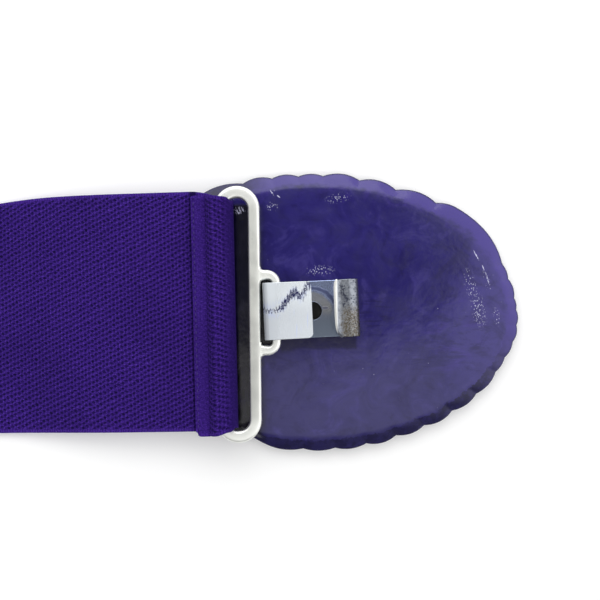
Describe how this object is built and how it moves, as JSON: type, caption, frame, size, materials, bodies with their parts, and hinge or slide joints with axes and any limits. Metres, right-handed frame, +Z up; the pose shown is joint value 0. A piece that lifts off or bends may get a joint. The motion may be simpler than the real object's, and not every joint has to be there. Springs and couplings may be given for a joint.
{
  "type": "elastic stretch belt with hook buckle",
  "caption": "Wide elastic belt strap with a cast ring sewn into each end and a hinged oval scalloped buckle plate that carries a hook clip.",
  "frame": {"origin": "middle of the buckle plate's front face, which lies down on the surface at z = 0", "axes": "+X along the belt towards the buckle's free end, the strap runs to -X; +Y across the belt; +Z up out of the buckle's back"},
  "size_m": [0.7245, 0.0931, 0.0148],
  "materials": {
    "elastic": "matt violet knitted elastic with a fine lattice of dark dots",
    "ring_metal": "satin plated cast zinc",
    "clip_metal": "bright nickel plated steel strip with some tarnish",
    "plate_resin": "glossy blue violet resin, slightly clouded, with a paler bevelled rim"
  },
  "bodies": {
    "strap": {"elastic_band": "elastic", "end_ring": "ring_metal", "catch_ring": "ring_metal"},
    "buckle": {"buckle_plate": "plate_resin", "hook_clip": "clip_metal"}
  },
  "joints": [
    {"name": "buckle_swing", "type": "hinge", "parent": "strap", "child": "buckle", "pos_m": [-0.012, 0, 0.01054], "axis": [0, -1, 0], "range_deg": [0, 120]}
  ]
}
